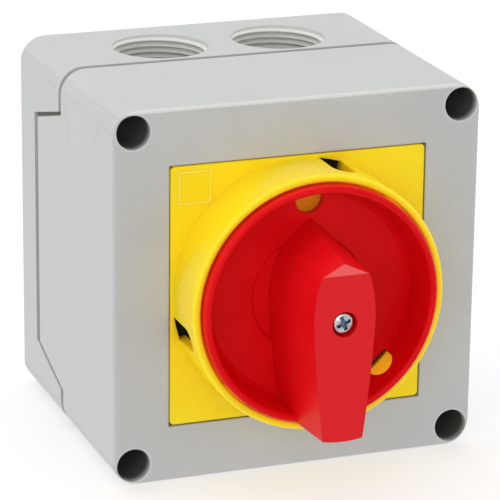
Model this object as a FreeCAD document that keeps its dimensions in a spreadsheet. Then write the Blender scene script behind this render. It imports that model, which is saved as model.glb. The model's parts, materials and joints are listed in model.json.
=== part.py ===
import FreeCAD, Part
import math
import os
import re

import Sketcher

Vector = FreeCAD.Vector
Rotation = FreeCAD.Rotation
Placement = FreeCAD.Placement

# Rotary isolator switch in a square surface enclosure.
# X points right, Z up, and the wall plane is y = 0, with the enclosure in front of it at negative y.
# "rise" is a distance in front of the wall, so a point at rise q lies at y = -q.

doc = FreeCAD.newDocument("rotary_isolator")
dims = doc.addObject("Spreadsheet::Sheet", "dims")

DIMENSIONS = {
    # enclosure
    "case_side": 96.3,
    "case_corner": 6.5,
    "wall": 3.0,
    "base_depth": 36.0,
    "case_depth": 79.1,
    "base_floor": 3.5,
    "seam_gap": 1.9,
    "seam_inset": 0.9,
    "seam_width": 1.2,
    "flap_gap": 2.7,
    "flap_rear": 15.0,
    "flap_top": 30.6,
    "flap_top_front": 36.4,
    "flap_root": 0.6,
    "flap_side_gap": 0.45,
    "flap_low": -31.2,
    "flap_low_front": -37.9,
    "post_half": 36.9,
    "screw_spread": 42.95,
    "well_radius": 4.3,
    "well_floor": 55.0,
    "cover_screw_radius": 2.0,
    "cover_inner": 73.5,
    "front_round": 0.9,
    "post_x": 27.0,
    "post_z": 10.0,
    "post_radius": 3.6,
    "small_thread": 1.5,
    "small_hole": 1.7,
    "pilot_floor": 12.0,
    # cable entries
    "entry_radius": 12.5,
    "entry_side": 16.3,
    "entry_rise": 20.2,
    "entry_pad": 4.0,
    "entry_pad_half": 31.5,
    # wall fixing
    "fixing_x": 38.0,
    "fixing_z": 27.0,
    "fixing_radius": 2.3,
    # yellow faceplate
    "recess_side": 67.6,
    "recess_floor": 76.5,
    "plate_side": 67.0,
    "plate_rear": 76.9,
    "plate_corner": 1.2,
    "collar_outer": 32.8,
    "collar_inner": 30.8,
    "collar_rise": 94.5,
    "inner_floor": 80.6,
    "spigot_radius": 10.7,
    "spigot_rear": 70.5,
    "cover_bore": 11.0,
    "hub_bore": 8.06,
    "boss_spread": 17.0,
    "boss_radius": 3.4,
    "boss_rise": 83.0,
    "mark_x": -27.25,
    "mark_z": 27.9,
    "mark_outer": 4.3,
    "mark_inner": 3.65,
    "mark_rise": 0.25,
    "plate_screw_radius": 1.5,
    "slot_half": 3.15,
    "slot_inner": 28.9,
    "slot_crown": 90.5,
    "slot_spread": 59.5,
    # red handle
    "hub_radius": 8.0,
    "dish_outer": 30.5,
    "dish_lip": 28.7,
    "dish_foot": 26.9,
    "dish_under": 84.1,
    "dish_floor": 86.1,
    "dish_rise": 96.5,
    "skirt_rear": 82.0,
    "hub_step": 14.8,
    "hub_drop": 0.6,
    "grip_rise": 110.7,
    "lock_hole": 3.65,
    "lock_orbit": 24.3,
    "window_half": 3.5,
    "window_crown": 92.3,
    "window_foot": 81.0,
    "window_inner": 26.35,
    "window_outer": 32.0,
    "window_angle": -46.3,
    "head_pocket": 3.2,
    "head_seat": 108.0,
    "head_radius": 2.8,
    "head_height": 2.1,
    # shaft and switch block
    "shaft_side": 6.0,
    "shaft_front": 98.0,
    "journal": 2.95,
    "journal_bore": 3.0,
    "block_side": 45.0,
    "foot_rear": 8.0,
    "foot_front": 11.0,
    "bearing_front": 13.0,
    "stage_depth": 13.0,
    "latch_rear": 39.0,
    "latch_front": 51.0,
    "mask_front": 53.0,
    "cam_rest": 6.0,
    "cam_lift": 2.0,
    "bar_inner": 12.1,
    "bar_depth": 1.5,
    "tie_orbit": 18.5,
}

for row, (name, value) in enumerate(DIMENSIONS.items(), start=1):
    dims.set("A%d" % row, name)
    dims.set("B%d" % row, str(value))
    dims.setAlias("B%d" % row, name)
doc.recompute()


def size(name):
    """One driving dimension, in millimetres."""
    return float(dims.get(name))


def cell(text):
    """Turn an expression in dimension names into one that reads the sheet."""
    return re.sub(r"[a-z_]+", lambda word: "dims." + word.group(0), text)


def value_of(text):
    """The number that an expression in dimension names stands for."""
    numbers = re.sub(r"[a-z_]+", lambda word: repr(size(word.group(0))), text)
    return FreeCAD.Units.Quantity(numbers.replace(" ", "")).Value


# ---------------------------------------------------------------------------
# PartDesign helpers
# ---------------------------------------------------------------------------

def new_body(name):
    body = doc.addObject("PartDesign::Body", name)
    body.Label = name
    return body


def sketch_on(body, role, offset="0"):
    """A sketch on one origin plane, moved along the plane's normal.

    On XZ_Plane the normal points to the front, so the offset is the rise."""
    count = len(body.Group)
    sketch = body.newObject("Sketcher::SketchObject", "%s_sketch_%d" % (body.Name, count))
    plane = [item for item in body.Origin.OriginFeatures if item.Role == role][0]
    sketch.AttachmentSupport = [(plane, "")]
    sketch.MapMode = "FlatFace"
    sketch.setExpression(".AttachmentOffset.Base.z", cell(offset))
    doc.recompute()
    return sketch


def hold(sketch, kind, geometry, expression, point=None):
    """One dimension of a sketch, bound to the sheet."""
    value = value_of(expression)
    if kind == "Radius":
        index = sketch.addConstraint(Sketcher.Constraint(kind, geometry, abs(value)))
    else:
        index = sketch.addConstraint(Sketcher.Constraint(kind, geometry, point, value))
    sketch.setExpression("Constraints[%d]" % index, cell(expression))


def add_outline(sketch, points):
    """A closed outline of straight edges through points given as expressions."""
    places = [Vector(value_of(a), value_of(b), 0) for a, b in points]
    first = sketch.GeometryCount
    count = len(places)
    for i in range(count):
        sketch.addGeometry(Part.LineSegment(places[i], places[(i + 1) % count]), False)
    for i in range(count):
        following = first + (i + 1) % count
        sketch.addConstraint(Sketcher.Constraint("Coincident", first + i, 2, following, 1))
    for i, (a, b) in enumerate(points):
        hold(sketch, "DistanceX", first + i, a, 1)
        hold(sketch, "DistanceY", first + i, b, 1)


def add_square(sketch, half, half_up=None):
    half_up = half_up or half
    corners = ((-1, -1), (1, -1), (1, 1), (-1, 1))
    add_outline(sketch, [("%d * (%s)" % (a, half), "%d * (%s)" % (b, half_up)) for a, b in corners])


def add_circle(sketch, x, z, radius):
    circle = Part.Circle(Vector(value_of(x), value_of(z), 0), Vector(0, 0, 1), value_of(radius))
    index = sketch.addGeometry(circle, False)
    hold(sketch, "Radius", index, radius)
    hold(sketch, "DistanceX", index, x, 3)
    hold(sketch, "DistanceY", index, z, 3)


def pad(body, sketch, length, reverse=False, midplane=False):
    feature = body.newObject("PartDesign::Pad", "%s_pad_%d" % (body.Name, len(body.Group)))
    feature.Profile = sketch
    feature.Length = abs(value_of(length))
    feature.setExpression("Length", cell(length))
    feature.Reversed = reverse
    feature.Midplane = midplane
    doc.recompute()
    return feature


def pocket(body, sketch, length, reverse=False, midplane=False):
    """Cut towards the wall from a sketch at the given rise, or the other way when reversed."""
    before = body.Shape.Volume
    feature = body.newObject("PartDesign::Pocket", "%s_pocket_%d" % (body.Name, len(body.Group)))
    feature.Profile = sketch
    feature.Length = abs(value_of(length))
    feature.setExpression("Length", cell(length))
    feature.Reversed = reverse
    feature.Midplane = midplane
    doc.recompute()
    if body.Shape.Volume > before - 1e-3:
        raise RuntimeError(feature.Name + " cut nothing")
    return feature


def revolve(body, points):
    """Turn an outline of (radius, rise) points about the switch axis."""
    sketch = sketch_on(body, "XY_Plane")
    add_outline(sketch, [(a, "-(%s)" % b) for a, b in points])
    doc.recompute()
    feature = body.newObject("PartDesign::Revolution", "%s_turn_%d" % (body.Name, len(body.Group)))
    feature.Profile = sketch
    feature.ReferenceAxis = (sketch, ["V_Axis"])
    feature.Angle = 360.0
    doc.recompute()
    return feature


def edges_where(shape, test):
    """Names of the edges whose middle point passes the test."""
    names = []
    for i, edge in enumerate(shape.Edges, start=1):
        middle = edge.valueAt((edge.FirstParameter + edge.LastParameter) / 2)
        if test(edge, middle):
            names.append("Edge%d" % i)
    return names


def round_edges(body, radius, test):
    """Round the edges of a body that pass the test."""
    names = edges_where(body.Shape, test)
    if not names:
        raise RuntimeError("no edge to round on " + body.Name)
    base = body.Tip
    feature = body.newObject("PartDesign::Fillet", "%s_round_%d" % (body.Name, len(body.Group)))
    feature.Base = (base, names)
    feature.Radius = value_of(radius)
    feature.setExpression("Radius", cell(radius))
    doc.recompute()
    return feature


def is_corner_edge(edge, middle):
    """Straight edges that run along the depth, away from the axis."""
    ends = edge.Vertexes
    if len(ends) != 2:
        return False
    run = ends[1].Point - ends[0].Point
    return abs(run.x) < 1e-6 and abs(run.z) < 1e-6 and abs(run.y) > 1e-6


# ---------------------------------------------------------------------------
# Part helpers
# ---------------------------------------------------------------------------

def finish_part(shape_object, name):
    shape_object.Label = name
    return shape_object


def block(name, x, z, rise, width, height, depth):
    """A box centred on (x, z), from one rise to rise + depth."""
    solid = doc.addObject("Part::Box", name)
    solid.setExpression("Length", cell(width))
    solid.setExpression("Width", cell(depth))
    solid.setExpression("Height", cell(height))
    solid.setExpression(".Placement.Base.x", cell("(%s) - (%s) / 2" % (x, width)))
    solid.setExpression(".Placement.Base.y", cell("-(%s) - (%s)" % (rise, depth)))
    solid.setExpression(".Placement.Base.z", cell("(%s) - (%s) / 2" % (z, height)))
    return solid


def rod(name, x, z, rise, radius, depth, angle=360.0):
    """A cylinder along the depth, from one rise to rise + depth."""
    solid = doc.addObject("Part::Cylinder", name)
    solid.Placement = Placement(Vector(0, 0, 0), Rotation(Vector(1, 0, 0), 90))
    solid.setExpression("Radius", cell(radius))
    solid.setExpression("Height", cell(depth))
    solid.setExpression(".Placement.Base.x", cell(x))
    solid.setExpression(".Placement.Base.y", cell("-(%s)" % rise))
    solid.setExpression(".Placement.Base.z", cell(z))
    solid.Angle = angle
    return solid


def crossbar(name, axis, start, radius, length):
    """A cylinder along X or Z from a start point given as three expressions (x, rise, z)."""
    solid = doc.addObject("Part::Cylinder", name)
    turn = Rotation(Vector(0, 1, 0), 90) if axis == "X" else Rotation()
    solid.Placement = Placement(Vector(0, 0, 0), turn)
    solid.setExpression("Radius", cell(radius))
    solid.setExpression("Height", cell(length))
    solid.setExpression(".Placement.Base.x", cell(start[0]))
    solid.setExpression(".Placement.Base.y", cell("-(%s)" % start[1]))
    solid.setExpression(".Placement.Base.z", cell(start[2]))
    return solid


def joined(name, items):
    if len(items) == 1:
        return items[0]
    solid = doc.addObject("Part::MultiFuse", name)
    solid.Shapes = items
    return solid


def carved(name, base, tools):
    solid = doc.addObject("Part::Cut", name)
    solid.Base = base
    solid.Tool = joined(name + "_tools", tools)
    return solid


def group(name, items):
    """Separate solids that share one node."""
    solid = doc.addObject("Part::Compound", name)
    solid.Links = items
    return finish_part(solid, name)


def corners(x, z):
    """The four sign combinations of a rectangle, as expressions."""
    return [("%d * (%s)" % (a, x), "%d * (%s)" % (b, z)) for a in (-1, 1) for b in (-1, 1)]


def screw(name, x, z, head_rise, head_radius, head_depth, shank_radius, shank_depth):
    """A screw whose head faces the front, with a cross recess in the head."""
    head = rod(name + "_head", x, z, head_rise, head_radius, head_depth)
    shank = rod(name + "_shank", x, z, "%s - (%s)" % (head_rise, shank_depth), shank_radius, shank_depth)
    recess = "(%s) * 0.45" % head_depth
    recess_rise = "%s + (%s) * 0.55" % (head_rise, head_depth)
    width = "(%s) * 1.1" % head_radius
    thin = "(%s) * 0.28" % head_radius
    slots = [
        block(name + "_slot_x", x, z, recess_rise, width, thin, recess),
        block(name + "_slot_z", x, z, recess_rise, thin, width, recess),
    ]
    return carved(name, joined(name + "_blank", [head, shank]), slots)


# ---------------------------------------------------------------------------
# Enclosure
# ---------------------------------------------------------------------------

HALF_CASE = "case_side / 2"
HALF_INSIDE = "(case_side / 2 - wall)"


def add_inside_outline(sketch):
    """The enclosure's inside: a square whose corners step in around the screw posts."""
    points = []
    for a, b, swap in ((1, 1, 0), (-1, 1, 1), (-1, -1, 0), (1, -1, 1)):
        near = ("%d * post_half" % a, "%d * post_half" % b)
        side = ("%d * %s" % (a, HALF_INSIDE), near[1])
        over = (near[0], "%d * %s" % (b, HALF_INSIDE))
        points.extend([over, near, side] if swap else [side, near, over])
    add_outline(sketch, points)


def flap_outline(sketch, gap_side, gap_rear, front):
    """The stepped part of the seam on the side walls, in (rise, height), grown by a gap."""
    rear = "flap_rear - %s" % gap_rear
    points = [
        (front, "flap_top_front + %s" % gap_side),
        ("base_depth - seam_gap", "flap_top_front + %s" % gap_side),
        (rear, "flap_top + %s" % gap_side),
        (rear, "flap_low - %s" % gap_side),
        ("base_depth - seam_gap", "flap_low_front - %s" % gap_side),
        (front, "flap_low_front - %s" % gap_side),
    ]
    add_outline(sketch, [("-(%s)" % a, b) for a, b in points])


def make_rear_base():
    base = new_body("rear_base")
    outside = sketch_on(base, "XZ_Plane")
    add_square(outside, HALF_CASE)
    pad(base, outside, "base_depth - seam_gap")
    round_edges(base, "case_corner", is_corner_edge)
    inside = sketch_on(base, "XZ_Plane", "base_depth - seam_gap")
    add_inside_outline(inside)
    pocket(base, inside, "base_depth - seam_gap - base_floor")
    # thick pads behind the cable entries give the threads their length
    for side in (1, -1):
        lining = sketch_on(base, "XZ_Plane", "base_floor")
        low = "%d * (%s - entry_pad)" % (side, HALF_INSIDE)
        high = "%d * (%s + wall / 2)" % (side, HALF_INSIDE)
        half = "entry_pad_half"
        add_outline(lining, [("-" + half, low), (half, low), (half, high), ("-" + half, high)])
        pad(base, lining, "base_depth - seam_gap - base_floor")
    entries = sketch_on(base, "XY_Plane")
    for side in (-1, 1):
        add_circle(entries, "%d * entry_side" % side, "-entry_rise", "entry_radius")
    pocket(base, entries, "case_side + 2", midplane=True)
    # the side walls are cut down where the cover's flaps come over them
    notch = sketch_on(base, "YZ_Plane")
    flap_outline(notch, "flap_side_gap", "flap_gap", "base_depth + 1")
    pocket(base, notch, "case_side + 2", midplane=True)
    # posts that carry the switch foot, and the pillars' pilot holes
    posts = sketch_on(base, "XZ_Plane", "base_floor")
    for x, z in corners("post_x", "post_z"):
        add_circle(posts, x, z, "post_radius")
    pad(base, posts, "foot_rear - base_floor")
    post_holes = sketch_on(base, "XZ_Plane", "foot_rear")
    for x, z in corners("post_x", "post_z"):
        add_circle(post_holes, x, z, "small_thread")
    pocket(base, post_holes, "5")
    pilots = sketch_on(base, "XZ_Plane", "base_depth - seam_gap")
    for x, z in corners("screw_spread", "screw_spread"):
        add_circle(pilots, x, z, "cover_screw_radius")
    pocket(base, pilots, "base_depth - seam_gap - pilot_floor")
    # wall fixing holes with sunk seats
    fixings = sketch_on(base, "XZ_Plane", "base_floor")
    for x, z in corners("fixing_x", "fixing_z"):
        add_circle(fixings, x, z, "fixing_radius")
    pocket(base, fixings, "base_floor")
    return base


def make_front_cover():
    cover = new_body("front_cover")
    outside = sketch_on(cover, "XZ_Plane", "base_depth")
    add_square(outside, HALF_CASE)
    pad(cover, outside, "case_depth - base_depth")
    round_edges(cover, "case_corner", is_corner_edge)
    front = -size("case_depth")
    round_edges(cover, "front_round", lambda edge, at: abs(at.y - front) < 1e-3)
    inside = sketch_on(cover, "XZ_Plane", "base_depth")
    add_inside_outline(inside)
    pocket(cover, inside, "cover_inner - base_depth", reverse=True)
    for side, start in ((1, HALF_INSIDE), (-1, "-(%s)" % HALF_CASE)):
        flap = sketch_on(cover, "YZ_Plane", start)
        points = [
            ("-(base_depth + flap_root)", "flap_top_front"),
            ("-base_depth", "flap_top_front"),
            ("-flap_rear", "flap_top"),
            ("-flap_rear", "flap_low"),
            ("-base_depth", "flap_low_front"),
            ("-(base_depth + flap_root)", "flap_low_front"),
        ]
        add_outline(flap, points)
        pad(cover, flap, "wall")
    recess = sketch_on(cover, "XZ_Plane", "case_depth")
    add_square(recess, "recess_side / 2")
    pocket(cover, recess, "case_depth - recess_floor")
    bore = sketch_on(cover, "XZ_Plane", "recess_floor")
    add_circle(bore, "0", "0", "cover_bore")
    for x, z in corners("boss_spread", "boss_spread"):
        add_circle(bore, x, z, "plate_screw_radius + 0.2")
    pocket(cover, bore, "recess_floor - cover_inner + 1")
    wells = sketch_on(cover, "XZ_Plane", "case_depth")
    for x, z in corners("screw_spread", "screw_spread"):
        add_circle(wells, x, z, "well_radius")
    pocket(cover, wells, "case_depth - well_floor")
    holes = sketch_on(cover, "XZ_Plane", "well_floor")
    for x, z in corners("screw_spread", "screw_spread"):
        add_circle(holes, x, z, "cover_screw_radius + 0.3")
    pocket(cover, holes, "well_floor - base_depth")
    return cover


def make_cover_gasket():
    """A thin strip that follows the stepped seam, set in from both faces of the wall."""
    band = new_body("gasket_band")
    profile = sketch_on(band, "YZ_Plane")
    half = "(case_side / 2 - seam_inset)"
    seam = [
        ("base_depth", half),
        ("base_depth", "flap_top_front"),
        ("flap_rear", "flap_top"),
        ("flap_rear", "flap_low"),
        ("base_depth", "flap_low_front"),
        ("base_depth", "-" + half),
        ("base_depth - seam_gap", "-" + half),
        ("base_depth - seam_gap", "flap_low_front - flap_side_gap"),
        ("flap_rear - flap_gap", "flap_low - flap_side_gap"),
        ("flap_rear - flap_gap", "flap_top + flap_side_gap"),
        ("base_depth - seam_gap", "flap_top_front + flap_side_gap"),
        ("base_depth - seam_gap", half),
    ]
    add_outline(profile, [("-(%s)" % a, b) for a, b in seam])
    pad(band, profile, "case_side", midplane=True)
    ring = new_body("gasket_ring")
    outer = sketch_on(ring, "XZ_Plane", "base_floor")
    add_square(outer, half)
    pad(ring, outer, "base_depth")
    round_edges(ring, "case_corner - seam_inset", is_corner_edge)
    inner = sketch_on(ring, "XZ_Plane", "base_floor + base_depth")
    add_square(inner, "(case_side / 2 - seam_inset - seam_width)")
    pocket(ring, inner, "base_depth")
    strip = doc.addObject("Part::Common", "cover_gasket")
    strip.Base = band
    strip.Tool = ring
    return finish_part(strip, "cover_gasket")


def make_cover_screws():
    screws = []
    washers = []
    for i, (x, z) in enumerate(corners("screw_spread", "screw_spread"), start=1):
        tag = "cover_screw_%d" % i
        screws.append(screw(tag, x, z, "well_floor + 0.8", "3.6", "2.8", "cover_screw_radius", "40"))
        ring = rod("screw_washer_%d_disc" % i, x, z, "well_floor", "4.1", "0.8")
        hole = rod("screw_washer_%d_hole" % i, x, z, "well_floor - 1", "cover_screw_radius", "3")
        washers.append(carved("screw_washer_%d" % i, ring, [hole]))
    return [group("cover_screws", screws), group("cover_screw_washers", washers)]


# ---------------------------------------------------------------------------
# Yellow faceplate and its fixings
# ---------------------------------------------------------------------------

def upright_arch(name, half, foot_rise, straight, near, far, angle):
    """A radial tunnel with straight sides and a round crown, at an angle about the switch axis."""
    foot = -foot_rise
    shoulder = foot - straight
    sill = [Vector(near, foot, -half), Vector(near, shoulder, -half)]
    crown = Vector(near, shoulder - half, 0)
    head = [Vector(near, shoulder, half), Vector(near, foot, half)]
    edges = [
        Part.LineSegment(sill[0], sill[1]).toShape(),
        Part.Arc(sill[1], crown, head[0]).toShape(),
        Part.LineSegment(head[0], head[1]).toShape(),
        Part.LineSegment(head[1], sill[0]).toShape(),
    ]
    tunnel = doc.addObject("Part::Feature", name)
    tunnel.Shape = Part.Face(Part.Wire(edges)).extrude(Vector(far - near, 0, 0))
    tunnel.Placement = Placement(Vector(0, 0, 0), Rotation(Vector(0, -1, 0), angle))
    return tunnel


def shackle_slot(name, side):
    """An arched slot through the collar and down through the plate, either side of the upper left diagonal."""
    half = size("slot_half")
    below = size("recess_floor")
    straight = size("slot_crown") - half - below
    angle = 135.0 + side * size("slot_spread")
    tunnel = upright_arch(name + "_arch", half, below, straight, size("slot_inner"), size("collar_outer") + 3, angle)
    limit = rod(name + "_limit", "0", "0", "recess_floor - 1", "collar_outer + 0.02", "20")
    cutter = doc.addObject("Part::Common", name)
    cutter.Base = tunnel
    cutter.Tool = limit
    return cutter


def make_yellow_faceplate():
    plate = new_body("faceplate_blank")
    square = sketch_on(plate, "XZ_Plane", "plate_rear")
    add_square(square, "plate_side / 2")
    pad(plate, square, "case_depth - plate_rear")
    round_edges(plate, "plate_corner", is_corner_edge)
    front = -size("case_depth")
    round_edges(plate, "0.45", lambda edge, at: abs(at.y - front) < 1e-3)
    revolve(plate, [
        ("hub_bore", "spigot_rear"),
        ("spigot_radius", "spigot_rear"),
        ("spigot_radius", "plate_rear"),
        ("collar_outer", "plate_rear"),
        ("collar_outer", "collar_rise"),
        ("collar_inner", "collar_rise"),
        ("collar_inner", "inner_floor"),
        ("hub_bore", "inner_floor"),
    ])
    rim = -size("collar_rise")
    round_edges(plate, "0.8", lambda edge, at: abs(at.y - rim) < 1e-3)
    bore = sketch_on(plate, "XZ_Plane", "inner_floor")
    add_circle(bore, "0", "0", "hub_bore")
    pocket(plate, bore, "inner_floor - spigot_rear")
    bosses = sketch_on(plate, "XZ_Plane", "inner_floor")
    for x, z in corners("boss_spread", "boss_spread"):
        add_circle(bosses, x, z, "boss_radius")
    pad(plate, bosses, "boss_rise - inner_floor")
    threads = sketch_on(plate, "XZ_Plane", "plate_rear")
    for x, z in corners("boss_spread", "boss_spread"):
        add_circle(threads, x, z, "plate_screw_radius")
    pocket(plate, threads, "boss_rise - plate_rear - 0.8", reverse=True)
    # a plain raised square outline at the upper left corner
    mark = sketch_on(plate, "XZ_Plane", "case_depth")
    for half in ("mark_outer", "mark_inner"):
        ends = [("mark_x + %d * %s" % (a, half), "mark_z + %d * %s" % (b, half))
                for a, b in ((-1, -1), (1, -1), (1, 1), (-1, 1))]
        add_outline(mark, ends)
    pad(plate, mark, "mark_rise")
    cutters = [shackle_slot("shackle_slot_%d" % i, side) for i, side in enumerate((-1, 1), start=1)]
    return finish_part(carved("yellow_faceplate", plate, cutters), "yellow_faceplate")


def make_faceplate_fixings():
    sheet = block("plate_gasket_sheet", "0", "0", "recess_floor", "plate_side - 1", "plate_side - 1",
                  "plate_rear - recess_floor")
    holes = [rod("plate_gasket_hub", "0", "0", "recess_floor - 1", "cover_bore", "3")]
    screws = []
    for i, (x, z) in enumerate(corners("boss_spread", "boss_spread"), start=1):
        holes.append(rod("plate_gasket_hole_%d" % i, x, z, "recess_floor - 1", "plate_screw_radius + 0.2", "3"))
        head = rod("plate_screw_head_%d" % i, x, z, "cover_inner - 1.8", "2.8", "1.8")
        shank = rod("plate_screw_shank_%d" % i, x, z, "cover_inner", "plate_screw_radius",
                    "boss_rise - 1.4 - cover_inner")
        slot = block("plate_screw_slot_%d" % i, x, z, "cover_inner - 1.8", "3.4", "0.8", "0.8")
        screws.append(carved("plate_screw_%d" % i, joined("plate_screw_blank_%d" % i, [head, shank]), [slot]))
    gasket = finish_part(carved("faceplate_gasket", sheet, holes), "faceplate_gasket")
    seal = carved("hub_seal", rod("hub_seal_disc", "0", "0", "cover_inner - 2.2", "13", "2.2"),
                  [rod("hub_seal_hole", "0", "0", "cover_inner - 4", "spigot_radius", "6")])
    return [gasket, group("faceplate_screws", screws), finish_part(seal, "hub_seal")]


# ---------------------------------------------------------------------------
# Red handle
# ---------------------------------------------------------------------------

TAIL_BULGE = 0.5


def arc_edge(start, middle, end):
    return Part.Arc(start, middle, end).toShape()


def grip_wire(rise, nose, shoulder, belly, tail, belly_height, tail_height, bulge):
    """One closed section of the grip: pointed nose, full belly, square tail.

    nose is the height of the tip, shoulder, belly and tail are (half width, height) places."""
    def at(x, z):
        return Vector(x, -rise, z)

    def between(a, b, push):
        """The middle of two places, pushed away from the axis of the grip."""
        side = 1 if a[0] + b[0] > 0 else -1
        return at((a[0] + b[0]) / 2 + side * push, (a[1] + b[1]) / 2)

    tip = (0.0, nose)
    left = [(-tail, tail_height), (-belly, belly_height), (-shoulder[0], shoulder[1]), tip]
    right = [tip, (shoulder[0], shoulder[1]), (belly, belly_height), (tail, tail_height)]
    pushes = [bulge[2], bulge[1], bulge[0]]
    edges = []
    for (a, b), push in zip(zip(left, left[1:]), pushes):
        edges.append(span(at(*a), between(a, b, push), at(*b), push))
    for (a, b), push in zip(zip(right, right[1:]), reversed(pushes)):
        edges.append(span(at(*a), between(a, b, push), at(*b), push))
    edges.append(arc_edge(at(*right[-1]), at(0.0, tail_height - TAIL_BULGE), at(*left[0])))
    return Part.Wire(edges)


def span(start, middle, end, push):
    if abs(push) < 1e-6:
        return Part.LineSegment(start, end).toShape()
    return arc_edge(start, middle, end)


def make_red_handle():
    dish = new_body("handle_dish")
    revolve(dish, [
        ("0", "spigot_rear - 0.5"),
        ("hub_radius", "spigot_rear - 0.5"),
        ("hub_radius", "dish_under"),
        ("dish_lip - 0.4", "dish_under"),
        ("dish_lip - 0.4", "skirt_rear"),
        ("dish_outer", "skirt_rear"),
        ("dish_outer", "dish_rise"),
        ("dish_lip", "dish_rise"),
        ("dish_foot", "dish_floor + 1.2"),
        ("dish_foot - 1.2", "dish_floor"),
        ("hub_step", "dish_floor"),
        ("hub_step - 0.3", "dish_floor - hub_drop"),
        ("0", "dish_floor - hub_drop"),
    ])
    lip = -size("dish_rise")
    round_edges(dish, "0.85", lambda edge, at: abs(at.y - lip) < 1e-3)

    floor = size("dish_floor") - 0.8
    face = size("grip_rise")
    low = grip_wire(floor, 19.8, (6.8, 13.4), 10.3, 7.5, 0.5, -29.6, (0.45, 0.8, 0.3))
    high = grip_wire(face, 14.8, (6.15, 12.3), 7.9, 5.15, 1.0, -29.6, (0.0, 0.45, 0.35))
    grip = doc.addObject("Part::Feature", "grip_loft")
    grip.Shape = Part.makeLoft([low, high], True, True)

    # the chamfer facet at the nose end of the face
    facet_length = 2.5
    facet_drop = 1.0
    wedge = doc.addObject("Part::Feature", "facet_wedge")
    corner_low = Vector(-9, -face, 12.4)
    outline = [
        corner_low,
        Vector(-9, -face + facet_drop * 2.4, 12.4 + facet_length * 2.4),
        Vector(-9, -face - 3, 12.4 + facet_length * 2.4),
        Vector(-9, -face - 3, 12.4),
        corner_low,
    ]
    wedge.Shape = Part.Face(Part.makePolygon(outline)).extrude(Vector(18, 0, 0))

    body = joined("handle_blank", [dish, grip])
    cuts = [
        wedge,
        rod("lock_hole_cut", "0", "lock_orbit", "dish_under - 1", "lock_hole", "dish_rise - dish_under + 2"),
        rod("head_pocket_cut", "0", "0", "head_seat", "head_pocket", "grip_rise - head_seat + 1"),
        rod("screw_way", "0", "0", "shaft_front - 1", "1.7", "head_seat - shaft_front + 2"),
        block("shaft_socket", "0", "0", "spigot_rear - 2", "shaft_side", "shaft_side",
              "shaft_front - spigot_rear + 2"),
        block("tail_hollow", "0", "-17.6", "dish_under - 1", "9", "15", "22"),
    ]
    # an arched window through the dish wall and its skirt, low on the right
    straight = size("window_crown") - size("window_half") - size("window_foot")
    cuts.append(upright_arch("wall_window", size("window_half"), size("window_foot"), straight,
                             size("window_inner"), size("window_outer"), size("window_angle")))
    return finish_part(carved("red_handle", body, cuts), "red_handle")


def make_handle_screw():
    head = rod("handle_screw_head", "0", "0", "head_seat", "head_radius", "head_height")
    shank = rod("handle_screw_shank", "0", "0", "shaft_front - 10", "1.5", "head_seat - shaft_front + 10")
    slots = [
        block("handle_screw_slot_x", "0", "0", "head_seat + 0.9", "3.3", "0.8", "head_height"),
        block("handle_screw_slot_z", "0", "0", "head_seat + 0.9", "0.8", "3.3", "head_height"),
    ]
    blank = joined("handle_screw_blank", [head, shank])
    return finish_part(carved("handle_screw", blank, slots), "handle_screw")


# ---------------------------------------------------------------------------
# Switch block
# ---------------------------------------------------------------------------

def make_shaft():
    square = block("shaft_square", "0", "0", "bearing_front + 0.4", "shaft_side", "shaft_side",
                   "shaft_front - bearing_front - 0.4")
    journal = rod("shaft_journal", "0", "0", "foot_front - 0.5", "journal", "bearing_front - foot_front + 1")
    hole = rod("shaft_thread", "0", "0", "shaft_front - 10.5", "1.5", "12")
    return finish_part(carved("drive_shaft", joined("shaft_blank", [square, journal]), [hole]), "drive_shaft")


def make_foot():
    plate = block("foot_plate", "0", "0", "foot_rear", "62", "28", "foot_front - foot_rear")
    holes = [rod("foot_centre", "0", "0", "foot_rear - 1", "4.5", "5")]
    screws = []
    for i, (x, z) in enumerate(corners("post_x", "post_z"), start=1):
        holes.append(rod("foot_hole_%d" % i, x, z, "foot_rear - 1", "1.7", "5"))
        screws.append(screw("foot_screw_%d" % i, x, z, "foot_front", "2.8", "1.9", "1.5", "7.5"))
    for side in (-1, 1):
        tag = "foot_tab_%d" % (side + 1)
        plate = joined(tag, [plate, block(tag + "_block", "0", "%d * 17" % side, "foot_rear", "12", "12",
                                          "foot_front - foot_rear")])
        holes.append(rod(tag + "_hole", "0", "%d * tie_orbit" % side, "foot_rear - 1", "1.7", "5"))
    foot = finish_part(carved("mounting_foot", plate, holes), "mounting_foot")
    return [foot, group("foot_screws", screws)]


def tie_holes(name, rise, depth):
    return [rod("%s_tie_%d" % (name, side + 1), "0", "%d * tie_orbit" % side, rise, "1.7", depth)
            for side in (-1, 1)]


def make_rear_bearing():
    depth = "bearing_front - foot_front"
    plate = block("bearing_plate", "0", "0", "foot_front", "block_side", "block_side", depth)
    bore = rod("bearing_bore", "0", "0", "foot_front - 1", "journal_bore", "4")
    holes = [bore] + tie_holes("bearing", "foot_front - 1", "4")
    return finish_part(carved("rear_bearing_plate", plate, holes), "rear_bearing_plate")


def make_chamber(name, rise):
    """One switching stage's housing: a floor, side walls and four terminal bays."""
    blank = block(name + "_blank", "0", "0", rise, "block_side", "block_side", "stage_depth")
    cavity = block(name + "_cavity", "0", "0", "%s + 2" % rise, "41", "27", "stage_depth")
    shaft_way = rod(name + "_shaft_way", "0", "0", "%s - 1" % rise, "4.6", "stage_depth + 2")
    tools = [cavity, shaft_way] + tie_holes(name, "%s - 1" % rise, "stage_depth + 2")
    for a in (-1, 1):
        for b in (-1, 1):
            tag = "%s_bay_%d%d" % (name, a + 1, b + 1)
            tools.append(block(tag, "%d * 14.9" % a, "%d * 19.5" % b, "%s + 2" % rise, "10.6", "8", "9"))
            tools.append(block(tag + "_way", "%d * 11.5" % a, "%d * 14.5" % b, "%s + 4.2" % rise,
                               "1.4", "4", "5.6"))
    return finish_part(carved(name, blank, tools), name)


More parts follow.
